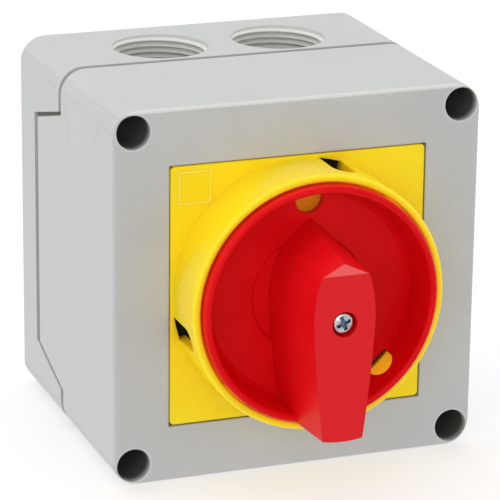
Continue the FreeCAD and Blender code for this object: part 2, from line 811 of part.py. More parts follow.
def make_contacts(stages):
    """Fixed contacts, their clamps and screws: line side above, load side below."""
    strips = {1: [], -1: []}
    clamps = []
    screws = []
    for level, rise in enumerate(stages, start=1):
        centre = "(%s + 7)" % rise
        for a in (-1, 1):
            for b in (-1, 1):
                tag = "terminal_%d_%d%d" % (level, a + 1, b + 1)
                blade = block(tag + "_blade", "%d * (bar_inner - 0.6)" % a, "%d * 14" % b,
                              centre + " - 2.5", "1.2", "12", "5")
                shelf = block(tag + "_shelf", "%d * 15" % a, "%d * 19.4" % b, centre + " - 3", "8.2", "1.2", "6")
                hole_start = ("%d * 15" % a, centre, "%d * 19.4 - 3" % b)
                hole = crossbar(tag + "_hole", "Z", hole_start, "1.6", "6")
                strips[b].append(carved(tag + "_strip", joined(tag + "_bent", [blade, shelf]), [hole]))
                washer = block(tag + "_washer", "%d * 15" % a, "%d * 22" % b, centre + " - 3", "7", "1", "6")
                washer_start = ("%d * 15" % a, centre, "%d * 22 - 3" % b)
                washer_hole = crossbar(tag + "_washer_hole", "Z", washer_start, "1.5", "6")
                clamps.append(carved(tag + "_clamp", washer, [washer_hole]))
                low = "22.5" if b > 0 else "-24.1"
                head = crossbar(tag + "_head", "Z", ("%d * 15" % a, centre, low), "2.7", "1.6")
                shank_low = "17.2" if b > 0 else "-22.5"
                shank = crossbar(tag + "_shank", "Z", ("%d * 15" % a, centre, shank_low), "1.5", "5.3")
                slot_z = "%d * 23.8" % b
                slot = block(tag + "_slot", "%d * 15" % a, slot_z, centre + " - 0.4", "4.2", "0.8", "0.8")
                screws.append(carved(tag + "_screw", joined(tag + "_pin", [head, shank]), [slot]))
    return [
        group("line_contacts", strips[1]),
        group("load_contacts", strips[-1]),
        group("terminal_clamps", clamps),
        group("terminal_screws", screws),
    ]


def cam_radius(turn):
    """Cam radius at an angle: it grows evenly from two opposite valleys to two opposite crests."""
    share = abs(((turn + 90.0) % 180.0) - 90.0) / 90.0
    return size("cam_rest") + size("cam_lift") * share


def make_cam(name, rise):
    """A two-lobed cam whose rise is proportional to its angle."""
    steps = 12
    edges = []
    for quarter in range(4):
        points = []
        for i in range(steps + 1):
            turn = quarter * 90.0 + 90.0 * i / steps
            angle = math.radians(turn)
            reach = cam_radius(turn)
            points.append(Vector(reach * math.cos(angle), 0, reach * math.sin(angle)))
        curve = Part.BSplineCurve()
        curve.interpolate(points)
        edges.append(curve.toShape())
    shaft = size("shaft_side")
    disc = Part.Face(Part.Wire(edges)).extrude(Vector(0, -8.4, 0))
    square = Part.makeBox(shaft, 12, shaft, Vector(-shaft / 2, -10, -shaft / 2))
    cam = doc.addObject("Part::Feature", name)
    cam.Shape = disc.cut(square)
    cam.Placement = Placement(Vector(0, -rise, 0), Rotation())
    return finish_part(cam, name)


def make_moving_contact(pole, side, rise):
    """A bridging bar in its carrier, which the cam pushes outwards against a spring."""
    centre = "(%s + 7)" % rise
    bar = block("contact_bridge_" + pole, "%d * (bar_inner + bar_depth / 2)" % side, "0",
                centre + " - 2.4", "bar_depth", "22", "4.8")
    nose_start = ("%d * 7.45" % side, centre + " - 2.6", "0")
    nose = rod("carrier_nose_" + pole, nose_start[0], "0", nose_start[1], "1.3", "5.2")
    stem = block("carrier_stem_" + pole, "%d * 9.75" % side, "0", centre + " - 2.6", "4.7", "2.6", "5.2")
    cap = block("carrier_cap_" + pole, "%d * (bar_inner + bar_depth + 0.7)" % side, "0",
                centre + " - 3.2", "1.4", "7", "6.4")
    links = [block("carrier_link_%s_%d" % (pole, k), "%d * (bar_inner + bar_depth / 2)" % side, "0",
                   centre + level, "bar_depth + 1.4", "5", "0.8") for k, level in enumerate((" - 3.2", " + 2.4"))]
    yoke = block("carrier_yoke_" + pole, "%d * (bar_inner - 0.35)" % side, "0", centre + " - 3.2", "0.7", "5", "6.4")
    carrier = joined("contact_carrier_" + pole, [nose, stem, cap, yoke] + links)
    start = size("bar_inner") + size("bar_depth") + 1.4
    end = size("block_side") / 2 - 2.0
    spring = make_coil("contact_spring_" + pole, side * start, side * end, value_of(centre))
    return [
        finish_part(bar, "contact_bridge_" + pole),
        finish_part(carrier, "contact_carrier_" + pole),
        spring,
    ]


def make_coil(name, start, end, rise, z=0.0, radius=1.9, wire=0.25, turns=4):
    """A compression spring along X between two places, drawn as closed rings in a row."""
    low, high = sorted((start, end))
    pitch = (high - low - 2 * wire - 0.04) / (turns - 1)
    rings = []
    for i in range(turns):
        x = low + wire + 0.02 + i * pitch
        rings.append(Part.makeTorus(radius, wire, Vector(x, -rise, z), Vector(1, 0, 0)))
    spring = doc.addObject("Part::Feature", name)
    spring.Shape = Part.makeCompound(rings)
    return finish_part(spring, name)


def make_latch():
    """The detent: a lobed wheel with a stop lug, two sprung plungers and their housing."""
    depth = "latch_front - latch_rear"
    blank = block("latch_blank", "0", "0", "latch_rear", "block_side", "block_side", depth)
    tools = [
        rod("latch_cavity", "0", "0", "latch_rear + 2", "10.6", depth),
        rod("latch_shaft_way", "0", "0", "latch_rear - 1", "4.6", "4"),
        block("latch_channels", "0", "0", "latch_rear + 3.5", "41", "6.1", "6.1"),
    ] + tie_holes("latch", "latch_rear - 1", "14")
    window = rod("latch_stop_window", "0", "0", "latch_rear + 2", "14.9", depth, angle=125.0)
    window.Placement = Placement(Vector(0, 0, 0), Rotation(Vector(0, 1, 0), -207.5).multiply(
        Rotation(Vector(1, 0, 0), 90)))
    window.setExpression(".Placement.Base.y", cell("-(latch_rear + 2)"))
    tools.append(window)
    housing = finish_part(carved("latch_housing", blank, tools), "latch_housing")

    mask = block("latch_cover_plate", "0", "0", "latch_front", "block_side", "block_side",
                 "mask_front - latch_front")
    mask_holes = [rod("latch_cover_bore", "0", "0", "latch_front - 1", "6.06", "4")]
    mask_holes += tie_holes("latch_cover", "latch_front - 1", "4")
    cover = finish_part(carved("latch_cover", mask, mask_holes), "latch_cover")

    disc = rod("wheel_disc", "0", "0", "latch_rear + 2.4", "10.2", "8.6")
    collar = rod("wheel_collar", "0", "0", "latch_rear + 11", "6.0", "4")
    lug = block("wheel_lug", "-8", "-8", "latch_rear + 2.4", "4.6", "4.6", "8.6")
    lug.Placement = Placement(Vector(0, 0, 0), Rotation())
    wheel_cuts = [block("wheel_socket", "0", "0", "latch_rear", "shaft_side", "shaft_side", "20")]
    for i in range(4):
        angle = math.radians(90.0 * i)
        orbit = size("cam_rest") + 6.1
        wheel_cuts.append(rod("wheel_notch_%d" % i, "%f" % (orbit * math.cos(angle)),
                              "%f" % (orbit * math.sin(angle)), "latch_rear + 2", "3.1", "10"))
    wheel = carved("detent_wheel", joined("wheel_blank", [disc, collar, lug]), wheel_cuts)

    plungers = []
    springs = []
    for side in (-1, 1):
        tag = "detent_plunger_%d" % (side + 1)
        body = block(tag + "_body", "%d * 14.2" % side, "0", "latch_rear + 3.6", "5.2", "5.9", "5.9")
        nose = rod(tag + "_nose", "%d * 12.5" % side, "0", "latch_rear + 3.6", "1.9", "5.9")
        plungers.append(joined(tag, [body, nose]))
        for i in range(4):
            x = side * (17.1 + i * 0.95)
            ring = doc.addObject("Part::Torus", "detent_ring_%d_%d" % (side + 1, i))
            ring.Radius1 = 1.9
            ring.Radius2 = 0.28
            ring.Placement = Placement(Vector(x, -size("latch_rear") - 6.55, 0), Rotation(Vector(0, 1, 0), 90))
            springs.append(ring)
    return [
        housing,
        cover,
        finish_part(wheel, "detent_wheel"),
        group("detent_plungers", plungers),
        group("detent_springs", springs),
    ]


def make_tie_bolts():
    bolts = []
    nuts = []
    for side in (-1, 1):
        tag = "tie_bolt_%d" % (side + 1)
        z = "%d * tie_orbit" % side
        bolts.append(screw(tag, "0", z, "mask_front", "2.7", "2", "1.5", "mask_front - 5.2"))
        flat = doc.addObject("Part::Prism", "tie_nut_blank_%d" % (side + 1))
        flat.Polygon = 6
        flat.Circumradius = 3.1
        flat.Height = 2.2
        flat.Placement = Placement(Vector(0, 0, 0), Rotation(Vector(1, 0, 0), 90))
        flat.setExpression(".Placement.Base.y", cell("-(foot_rear - 2.2)"))
        flat.setExpression(".Placement.Base.z", cell(z))
        hole = rod("tie_nut_hole_%d" % (side + 1), "0", z, "foot_rear - 4", "1.5", "6")
        nuts.append(carved("tie_nut_%d" % (side + 1), flat, [hole]))
    return [group("tie_bolts", bolts), group("tie_nuts", nuts)]


def make_earth_terminal():
    rail = block("earth_block", "0", "-33", "base_floor", "16", "8", "7")
    holes = []
    screws = []
    for i, x in enumerate(("-4.5", "4.5"), start=1):
        holes.append(crossbar("earth_way_%d" % i, "Z", (x, "base_floor + 3", "-38"), "1.9", "10"))
        holes.append(rod("earth_thread_%d" % i, x, "-33", "base_floor + 3", "1.5", "6"))
        screws.append(screw("earth_screw_%d" % i, x, "-33", "base_floor + 8", "2.6", "1.6", "1.5", "3.6"))
    terminal = finish_part(carved("earth_terminal", rail, holes), "earth_terminal")
    return [terminal, group("earth_screws", screws)]


# ---------------------------------------------------------------------------
# Assembly
# ---------------------------------------------------------------------------

front_stage = "(bearing_front + stage_depth)"
rear_stage = "bearing_front"

parts = [make_rear_base(), make_front_cover(), make_cover_gasket()]
parts += make_cover_screws()
parts.append(make_yellow_faceplate())
parts += make_faceplate_fixings()
parts += [make_red_handle(), make_handle_screw(), make_shaft()]
parts += make_foot()
parts.append(make_rear_bearing())
parts.append(make_chamber("contact_chamber_rear", rear_stage))
parts.append(make_chamber("contact_chamber_front", front_stage))
parts += make_contacts([rear_stage, front_stage])
for cam_name, stage in (("cam_rear", rear_stage), ("cam_front", front_stage)):
    parts.append(make_cam(cam_name, value_of(stage) + 2.8))
for pole, side, stage in (("l1", -1, front_stage), ("l2", 1, front_stage),
                          ("l3", -1, rear_stage), ("neutral", 1, rear_stage)):
    parts += make_moving_contact(pole, side, stage)
parts += make_latch()
parts += make_tie_bolts()
parts += make_earth_terminal()

doc.recompute()

faults = [item.Name for item in doc.Objects if "Invalid" in item.State or "Error" in item.State]
for item in parts:
    if item.Shape.isNull() or not item.Shape.isValid() or not item.Shape.Solids:
        faults.append(item.Label)
if faults:
    raise RuntimeError("these objects failed: " + ", ".join(faults))

os.makedirs("parts", exist_ok=True)
for item in parts:
    item.Shape.exportStep("parts/%s.step" % item.Label)
    box = item.Shape.BoundBox
    print("%-26s solids %2d volume %9.1f x %6.1f %6.1f y %6.1f %6.1f z %6.1f %6.1f" % (
        item.Label, len(item.Shape.Solids), item.Shape.Volume,
        box.XMin, box.XMax, box.YMin, box.YMax, box.ZMin, box.ZMax))
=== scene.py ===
import json
import math

import bmesh
import bpy
from mathutils import Matrix, Vector


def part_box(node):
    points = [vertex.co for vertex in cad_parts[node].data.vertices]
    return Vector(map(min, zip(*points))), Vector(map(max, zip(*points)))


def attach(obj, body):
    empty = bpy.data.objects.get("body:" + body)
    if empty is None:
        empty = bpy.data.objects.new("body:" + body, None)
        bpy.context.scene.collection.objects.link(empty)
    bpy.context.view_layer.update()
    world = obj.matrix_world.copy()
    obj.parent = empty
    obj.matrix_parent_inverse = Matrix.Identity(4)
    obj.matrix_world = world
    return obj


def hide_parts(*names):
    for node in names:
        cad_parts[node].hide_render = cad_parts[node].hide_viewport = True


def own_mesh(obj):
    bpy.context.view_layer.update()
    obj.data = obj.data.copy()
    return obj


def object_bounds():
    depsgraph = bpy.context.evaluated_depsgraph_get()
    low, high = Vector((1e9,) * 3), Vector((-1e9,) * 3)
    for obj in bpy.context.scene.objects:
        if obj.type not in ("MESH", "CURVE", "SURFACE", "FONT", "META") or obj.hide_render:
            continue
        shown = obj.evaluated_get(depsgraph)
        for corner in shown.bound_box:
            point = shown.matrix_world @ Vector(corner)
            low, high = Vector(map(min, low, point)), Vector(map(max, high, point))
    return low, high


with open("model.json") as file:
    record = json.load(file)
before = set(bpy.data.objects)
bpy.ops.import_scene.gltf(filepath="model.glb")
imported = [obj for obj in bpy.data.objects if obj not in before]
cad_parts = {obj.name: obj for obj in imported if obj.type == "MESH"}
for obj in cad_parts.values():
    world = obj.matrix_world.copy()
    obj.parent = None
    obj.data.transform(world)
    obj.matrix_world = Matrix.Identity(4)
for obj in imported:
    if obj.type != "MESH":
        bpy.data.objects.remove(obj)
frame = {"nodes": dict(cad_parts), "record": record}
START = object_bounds()

MM = 0.001
NODES = frame["nodes"]
RECORD = frame["record"]
CASE_HALF = 48.15 * MM      # half the width and half the height of the enclosure
CASE_BEND = 6.5 * MM        # radius of its rounded corner edges
CASE_FRONT = 79.1 * MM      # rise of the front face over the wall
PARTING = 35.0 * MM         # rise, near the middle of the seam at the corner edges
WELL_SPREAD = 42.95 * MM    # from the centre lines to a corner well, both ways
WELL_RADIUS = 4.5 * MM      # at the mouth of a well
ENTRY_SIDE = 16.3 * MM      # from the centre line to a cable entry
ENTRY_RISE = 20.2 * MM      # from the wall to the centre of a cable entry
ENTRY_RADIUS = 12.5 * MM


# ---------------------------------------------------------------------------
# Materials
# ---------------------------------------------------------------------------

class Shade:
    """A material under construction: node tree shortcuts round one Principled shader."""

    def __init__(self, name, roughness, metallic=0.0, specular=0.5):
        self.material = bpy.data.materials.new(name)
        self.material.use_nodes = True
        self.tree = self.material.node_tree
        self.shader = self.tree.nodes["Principled BSDF"]
        self.shader.inputs["Roughness"].default_value = roughness
        self.shader.inputs["Metallic"].default_value = metallic
        self.shader.inputs["IOR"].default_value = 1.5
        self.shader.inputs["Specular IOR Level"].default_value = specular
        self.place = self.node("ShaderNodeTexCoord").outputs["Object"]

    def node(self, kind, **settings):
        made = self.tree.nodes.new(kind)
        for key, value in settings.items():
            setattr(made, key, value)
        return made

    def link(self, source, target):
        self.tree.links.new(source, target)

    def stretched(self, scale):
        """Object coordinates scaled along each axis."""
        mapping = self.node("ShaderNodeMapping")
        mapping.inputs["Scale"].default_value = scale
        self.link(self.place, mapping.inputs["Vector"])
        return mapping.outputs["Vector"]

    def noise(self, scale, detail=3.0, rough=0.55, vector=None):
        made = self.node("ShaderNodeTexNoise")
        made.inputs["Scale"].default_value = scale
        made.inputs["Detail"].default_value = detail
        made.inputs["Roughness"].default_value = rough
        self.link(vector or self.place, made.inputs["Vector"])
        return made.outputs["Fac"]

    def math(self, operation, a, b=None):
        made = self.node("ShaderNodeMath", operation=operation)
        for socket, value in zip(made.inputs, (a, b)):
            if value is None:
                continue
            if isinstance(value, (int, float)):
                socket.default_value = value
            else:
                self.link(value, socket)
        return made.outputs[0]

    def remap(self, value, low, high, to_low=0.0, to_high=1.0):
        """Carry a value from low..high over to to_low..to_high, with a smooth step."""
        made = self.node("ShaderNodeMapRange", interpolation_type="SMOOTHSTEP")
        for name, number in (("From Min", low), ("From Max", high), ("To Min", to_low), ("To Max", to_high)):
            made.inputs[name].default_value = number
        self.link(value, made.inputs["Value"])
        return made.outputs["Result"]

    def mix(self, share, a, b):
        """Blend colour a into colour b by a share, where each colour is a tuple or a socket."""
        made = self.node("ShaderNodeMix", data_type="RGBA")
        self.link(share, made.inputs[0])
        for socket, value in ((made.inputs[6], a), (made.inputs[7], b)):
            if isinstance(value, tuple):
                socket.default_value = value + (1.0,)
            else:
                self.link(value, socket)
        return made.outputs[2]

    def axes(self):
        split = self.node("ShaderNodeSeparateXYZ")
        self.link(self.place, split.inputs[0])
        return split.outputs

    def length(self, a, b):
        """Length of a flat vector with the components a and b."""
        return self.math("SQRT", self.math("ADD", self.math("MULTIPLY", a, a), self.math("MULTIPLY", b, b)))

    def orbit(self):
        """Distance from the switch's turning axis."""
        x, _, z = self.axes()
        return self.length(x, z)

    def rise(self):
        """Distance in front of the wall."""
        return self.math("MULTIPLY", self.axes()[1], -1.0)

    def mirrored(self, value, offset):
        """Distance past an offset that is the same on both sides of zero."""
        return self.math("SUBTRACT", self.math("ABSOLUTE", value), offset)

    def above(self, value, low, high):
        """A mask that comes on softly as a value rises from low to high, in millimetres."""
        return self.remap(value, low * MM, high * MM)

    def below(self, value, low, high):
        """A mask that goes off softly as a value rises from low to high, in millimetres."""
        return self.remap(value, low * MM, high * MM, 1.0, 0.0)

    def apart(self, value, centre):
        """Absolute distance of a value from a centre, which may itself be a value."""
        return self.math("ABSOLUTE", self.math("SUBTRACT", value, centre))

    def both(self, *masks):
        """A mask that is on where all of the given masks are on."""
        total = masks[0]
        for mask in masks[1:]:
            total = self.math("MULTIPLY", total, mask)
        return total

    def tint(self, mask, under, color):
        """Multiply a colour by another one where the mask is on."""
        made = self.node("ShaderNodeMix", data_type="RGBA", blend_type="MULTIPLY")
        self.link(mask, made.inputs[0])
        self.link(under, made.inputs[6])
        made.inputs[7].default_value = color + (1.0,)
        return made.outputs[2]

    def color(self, socket):
        self.link(socket, self.shader.inputs["Base Color"])

    def roughness(self, socket):
        self.link(socket, self.shader.inputs["Roughness"])

    def relief(self, layers, edge=0.0):
        """Stack bump layers (height, distance, strength) on softened edges."""
        normal = None
        if edge:
            bevel = self.node("ShaderNodeBevel", samples=4)
            bevel.inputs["Radius"].default_value = edge
            normal = bevel.outputs["Normal"]
        for height, distance, strength in layers:
            bump = self.node("ShaderNodeBump")
            bump.inputs["Strength"].default_value = strength
            bump.inputs["Distance"].default_value = distance
            self.link(height, bump.inputs["Height"])
            if normal:
                self.link(normal, bump.inputs["Normal"])
            normal = bump.outputs["Normal"]
        self.link(normal, self.shader.inputs["Normal"])


def case_plastic():
    """Light grey moulded enclosure with a fine spark-eroded grain and faint flow clouding."""
    s = Shade("case_grey", 0.5, specular=0.42)
    grain = s.noise(2600.0, 2.0, 0.6)
    cloud = s.noise(38.0, 3.0, 0.5)
    fleck = s.noise(900.0, 2.0, 0.7)
    tone = s.mix(s.remap(cloud, 0.3, 0.7), (0.485, 0.492, 0.492), (0.512, 0.518, 0.518))
    tone = s.mix(s.remap(fleck, 0.58, 0.76, 0.0, 0.4), tone, (0.43, 0.435, 0.43))
    tone = corner_streaks(s, tone)
    tone = well_shade_and_light(s, tone)
    tone = edge_highlight_and_marks(s, tone)
    s.color(tone)
    s.roughness(s.remap(cloud, 0.3, 0.7, 0.44, 0.54))
    wave = s.noise(26.0, 1.0, 0.4)
    s.relief([(grain, 0.00009, 0.5), (wave, 0.0006, 0.12)], edge=0.0006)
    return s.material


def corner_streaks(s, tone):
    """A faint greenish, darker tint on a tongue of the base and a band of the cover along the rounded corner
    edges, with darker lines at their borders.
    """
    tongue_end, tongue_middle, tongue_half = 30.3 * MM, 2.0 * MM, 1.25 * MM
    band_start, band_stop, band_widening = 1.0 * MM, 2.4 * MM, 0.036
    x, _, z = s.axes()
    rise = s.rise()
    out = s.mirrored(x, CASE_HALF - CASE_BEND)
    up = s.mirrored(z, CASE_HALF - CASE_BEND)
    around = s.math("MULTIPLY", s.math("ARCTAN2", up, out), CASE_BEND)
    base = s.remap(rise, PARTING - 0.4 * MM, PARTING + 0.4 * MM, 1.0, 0.0)
    cover = s.math("SUBTRACT", 1.0, base)
    # the tongue on the base has a round end, the band on the cover runs on to the front
    past = s.math("MAXIMUM", s.math("SUBTRACT", rise, tongue_end), 0.0)
    aside = s.math("SUBTRACT", around, tongue_middle)
    tongue = s.math("SUBTRACT", s.length(past, aside), tongue_half)
    upper = s.math("ADD", s.math("MULTIPLY", rise, band_widening), band_stop)
    band = s.math("MAXIMUM", s.math("SUBTRACT", band_start, around), s.math("SUBTRACT", around, upper))
    shape = s.math("ADD", s.math("MULTIPLY", tongue, base), s.math("MULTIPLY", band, cover))
    tone = s.tint(s.below(shape, -0.5, 0.4), tone, (0.965, 0.98, 0.945))
    return s.tint(s.below(s.apart(shape, 0.0), 0.08, 0.3), tone, (0.92, 0.925, 0.92))


def edge_highlight_and_marks(s, tone):
    """A painted highlight along the top front edge, and faint darker marks on the left side near the upper
    corner.
    """
    x, _, z = s.axes()
    rise = s.rise()
    # painted highlight: a paler line mixed in along the top front edge
    edge = s.both(s.above(rise, 78.0, 78.4), s.above(z, 47.2, 47.6))
    tone = s.mix(s.math("MULTIPLY", edge, 0.55), tone, (0.74, 0.74, 0.70))
    on_side = s.below(x, -48.2, -48.0)
    marks = ((41.0, 37.0, 7.5, 1.1, 0.25), (67.0, 41.0, 5.0, 1.2, -0.5))
    for at_rise, at_z, long_way, across, lean in marks:
        along = s.math("SUBTRACT", z, at_z * MM)
        aside = s.math("ADD", s.math("SUBTRACT", rise, at_rise * MM), s.math("MULTIPLY", along, lean))
        along = s.math("DIVIDE", along, long_way * MM)
        aside = s.math("DIVIDE", aside, across * MM)
        reach = s.math("ADD", s.math("MULTIPLY", along, along), s.math("MULTIPLY", aside, aside))
        spot = s.both(s.remap(reach, 0.5, 1.1, 1.0, 0.0), on_side)
        tone = s.tint(spot, tone, (0.93, 0.94, 0.93))
    return tone


def well_shade_and_light(s, tone):
    """Painted shade deep in the corner wells, a painted highlight ring at each mouth, and painted light that
    makes the entries paler.
    """
    x, _, z = s.axes()
    rise = s.rise()
    reach = s.length(s.mirrored(x, WELL_SPREAD), s.mirrored(z, WELL_SPREAD))
    # the walls of the wells start in front of the rear base, which stays as it is
    inside = s.both(s.remap(reach, WELL_RADIUS - 0.1 * MM, WELL_RADIUS, 1.0, 0.0),
                    s.remap(rise, CASE_FRONT - 3.1 * MM, CASE_FRONT - 0.2 * MM, 1.0, 0.0),
                    s.above(rise, 52.0, 54.0))
    # painted shade: the walls deep in the wells are darkened
    tone = s.tint(inside, tone, (0.22, 0.22, 0.20))
    # painted highlight: a pale ring round the mouth of each well
    ring = s.both(s.below(s.apart(reach, WELL_RADIUS), 0.15, 0.4),
                  s.remap(rise, CASE_FRONT - 0.4 * MM, CASE_FRONT - 0.1 * MM))
    tone = s.mix(ring, tone, (0.58, 0.58, 0.56))
    # painted light: the bored entries are painted a little paler than the moulded skin
    reach = s.length(s.mirrored(x, ENTRY_SIDE), s.math("SUBTRACT", rise, ENTRY_RISE))
    bored = s.remap(reach, ENTRY_RADIUS - 0.05 * MM, ENTRY_RADIUS + 0.1 * MM, 0.8, 0.0)
    return s.mix(bored, tone, (0.78, 0.78, 0.74))


def gasket_rubber():
    """Matt dark rubber. The seals behind the yellow plate are darker than the strip in the seam: partly the
    rubber's own black, partly painted shade at the bottom of the slots that show them.
    """
    s = Shade("gasket_black", 0.75, specular=0.25)
    speck = s.noise(1800.0, 2.0)
    tone = s.mix(s.remap(speck, 0.4, 0.7), (0.13, 0.13, 0.112), (0.18, 0.178, 0.16))
    # painted shade, in part: the seals behind the yellow plate are darkened towards black
    s.color(s.tint(s.above(s.rise(), 50.0, 60.0), tone, (0.08, 0.07, 0.06)))
    s.relief([(speck, 0.0001, 0.4)])
    return s.material


def zinc_metal(name="zinc_screw", tint=(0.62, 0.64, 0.68)):
    """Turned and plated metal: fine turning lines under a patchy tone."""
    s = Shade(name, 0.28, metallic=1.0)
    turned = s.noise(5200.0, 2.0, 0.5, s.stretched((0.18, 1.0, 0.18)))
    patch = s.noise(420.0, 3.0, 0.6)
    darker = tuple(c * 0.72 for c in tint)
    s.color(s.mix(s.remap(patch, 0.35, 0.7), tint, darker))
    s.roughness(s.remap(turned, 0.3, 0.7, 0.2, 0.42))
    s.relief([(turned, 0.00004, 0.4)], edge=0.00012)
    return s.material


def yellow_plastic():
    """Glossy yellow plate and collar, with painted shade, painted glow and a painted highlight in places
    round the red dish.
    """
    s = Shade("yellow_plastic", 0.3, specular=0.5)
    s.shader.inputs["Specular Tint"].default_value = (1.0, 0.85, 0.45, 1.0)
    cloud = s.noise(60.0, 3.0, 0.5)
    grain = s.noise(2200.0, 2.0, 0.6)
    tone = s.mix(s.remap(cloud, 0.3, 0.7), (0.98, 0.70, 0.010), (1.0, 0.74, 0.013))
    rise = s.rise()
    orbit = s.orbit()
    # painted shade: the floor behind the dish is tinted orange, as the yellow looks in shade
    behind = s.both(s.below(orbit, 26.0, 30.0), s.below(rise, 83.2, 83.6))
    tone = s.mix(behind, tone, (1.0, 0.25, 0.010))
    # a small painted glow on the inner wall of the collar stands in for the lamp light that falls on it
    # through the window in the dish, and a smaller painted glow lights the floor behind the dish
    wall_glow, behind_glow = 0.42, 0.12
    wall = s.both(s.above(orbit, 30.6, 30.75), s.below(orbit, 31.0, 31.3),
                  s.above(rise, 80.8, 81.8), s.below(rise, 92.5, 93.5))
    s.shader.inputs["Emission Color"].default_value = (1.0, 0.55, 0.02, 1.0)
    glow = s.math("ADD", s.math("MULTIPLY", wall, wall_glow), s.math("MULTIPLY", behind, behind_glow))
    s.link(glow, s.shader.inputs["Emission Strength"])
    # painted shade: the narrow floor between skirt and collar lies in the dark and is painted near black
    gap = s.both(s.above(orbit, 28.0, 28.6), s.below(rise, 81.0, 81.6), s.below(orbit, 30.6, 30.9))
    tone = s.mix(gap, tone, (0.05, 0.02, 0.004))
    # painted highlight: the raised corner mark is painted lighter
    mark = s.both(s.above(rise, 79.15, 79.3), s.above(orbit, 32.85, 33.0))
    tone = s.mix(s.math("MULTIPLY", mark, 0.3), tone, (1.0, 0.86, 0.22))
    s.color(tone)
    s.roughness(s.remap(cloud, 0.3, 0.7, 0.26, 0.36))
    s.shader.inputs["Subsurface Weight"].default_value = 0.35
    s.shader.inputs["Subsurface Scale"].default_value = 1.0
    s.shader.inputs["Subsurface Radius"].default_value = (0.0024, 0.0016, 0.0003)
    s.relief([(grain, 0.00004, 0.3), (s.noise(55.0, 1.0), 0.0004, 0.1)], edge=0.0003)
    return s.material


def red_plastic():
    """Red handle with a soft gloss: saturated flanks, a satin face with a painted sheen, a painted highlight
    on the facet, and a maroon painted shade on the underside.
    """
    s = Shade("red_plastic", 0.32, specular=0.28)
    s.shader.inputs["Specular Tint"].default_value = (1.0, 0.3, 0.3, 1.0)
    cloud = s.noise(70.0, 3.0, 0.5)
    grain = s.noise(2400.0, 2.0, 0.6)
    _, _, z = s.axes()
    rise = s.rise()
    tone = s.mix(s.remap(cloud, 0.3, 0.7), (0.69, 0.003, 0.006), (0.75, 0.005, 0.008))
    # painted sheen: the satin face is painted paler, for the broad reflection that it catches
    face = s.above(rise, 110.5, 110.65)
    tone = s.mix(face, tone, (0.71, 0.017, 0.022))
    # painted highlight: the facet at the upper end of the grip, which lies in a plane whose rise falls as z
    # grows, is painted a paler red for the light that it reflects from above
    facet_start, facet_fall = 115.66 * MM, 0.4
    slope = s.math("SUBTRACT", facet_start, s.math("MULTIPLY", z, facet_fall))
    facet = s.both(s.below(s.apart(rise, slope), 0.05, 0.12), s.above(z, 12.4, 12.5),
                   s.above(rise, 108.0, 108.4))
    tone = s.mix(facet, tone, (0.80, 0.11, 0.11))
    # the floor of the dish is deeper in tone than its rim, and the underside of the dish is darkened to
    # maroon as painted shade
    floor = s.both(s.below(rise, 95.0, 96.6), s.below(s.orbit(), 29.2, 30.0), s.above(rise, 83.0, 84.3))
    tone = s.tint(s.math("MULTIPLY", floor, 0.5), tone, (0.94, 0.4, 0.4))
    under = s.below(rise, 83.0, 84.2)
    tone = s.tint(under, tone, (0.55, 0.5, 0.5))
    s.color(tone)
    satin = s.math("MULTIPLY", face, 0.12)
    s.roughness(s.math("ADD", s.remap(cloud, 0.3, 0.7, 0.28, 0.38), satin))
    s.shader.inputs["Subsurface Weight"].default_value = 0.08
    s.shader.inputs["Subsurface Radius"].default_value = (0.002, 0.0003, 0.0002)
    s.relief([(grain, 0.00004, 0.3), (s.noise(60.0, 1.0), 0.0004, 0.1)], edge=0.0004)
    return s.material


def drawn_steel():
    """Drawn bar with fine lines along its length."""
    s = Shade("shaft_steel", 0.3, metallic=1.0)
    lines = s.noise(4200.0, 3.0, 0.6, s.stretched((1.0, 0.03, 1.0)))
    s.color(s.mix(s.remap(lines, 0.3, 0.7), (0.50, 0.51, 0.53), (0.62, 0.63, 0.65)))
    s.roughness(s.remap(lines, 0.3, 0.7, 0.22, 0.42))
    s.relief([(lines, 0.00004, 0.5)], edge=0.0002)
    return s.material


def filled_plastic(name, low, high, roughness):
    """Glass-filled plastic: streaks of fibre in the gloss, and a cloudy tone between two colours."""
    s = Shade(name, roughness, specular=0.35)
    fibre = s.noise(1500.0, 4.0, 0.7, s.stretched((1.0, 0.35, 1.0)))
    cloud = s.noise(90.0, 3.0)
    s.color(s.mix(s.remap(cloud, 0.3, 0.7), low, high))
    s.roughness(s.remap(fibre, 0.3, 0.7, roughness - 0.08, roughness + 0.1))
    s.relief([(fibre, 0.00007, 0.4)], edge=0.0002)
    return s.material


def stamped_metal(name, low, high, roughness):
    """Rolled and stamped sheet metal, tarnished in patches from the high colour to the low one."""
    s = Shade(name, roughness, metallic=1.0)
    rolled = s.noise(3000.0, 3.0, 0.6, s.stretched((0.06, 1.0, 1.0)))
    tarnish = s.noise(260.0, 4.0, 0.6)
    s.color(s.mix(s.remap(tarnish, 0.35, 0.7), high, low))
    s.roughness(s.remap(rolled, 0.3, 0.7, roughness - 0.08, roughness + 0.12))
    s.relief([(rolled, 0.00003, 0.4)], edge=0.00015)
    return s.material


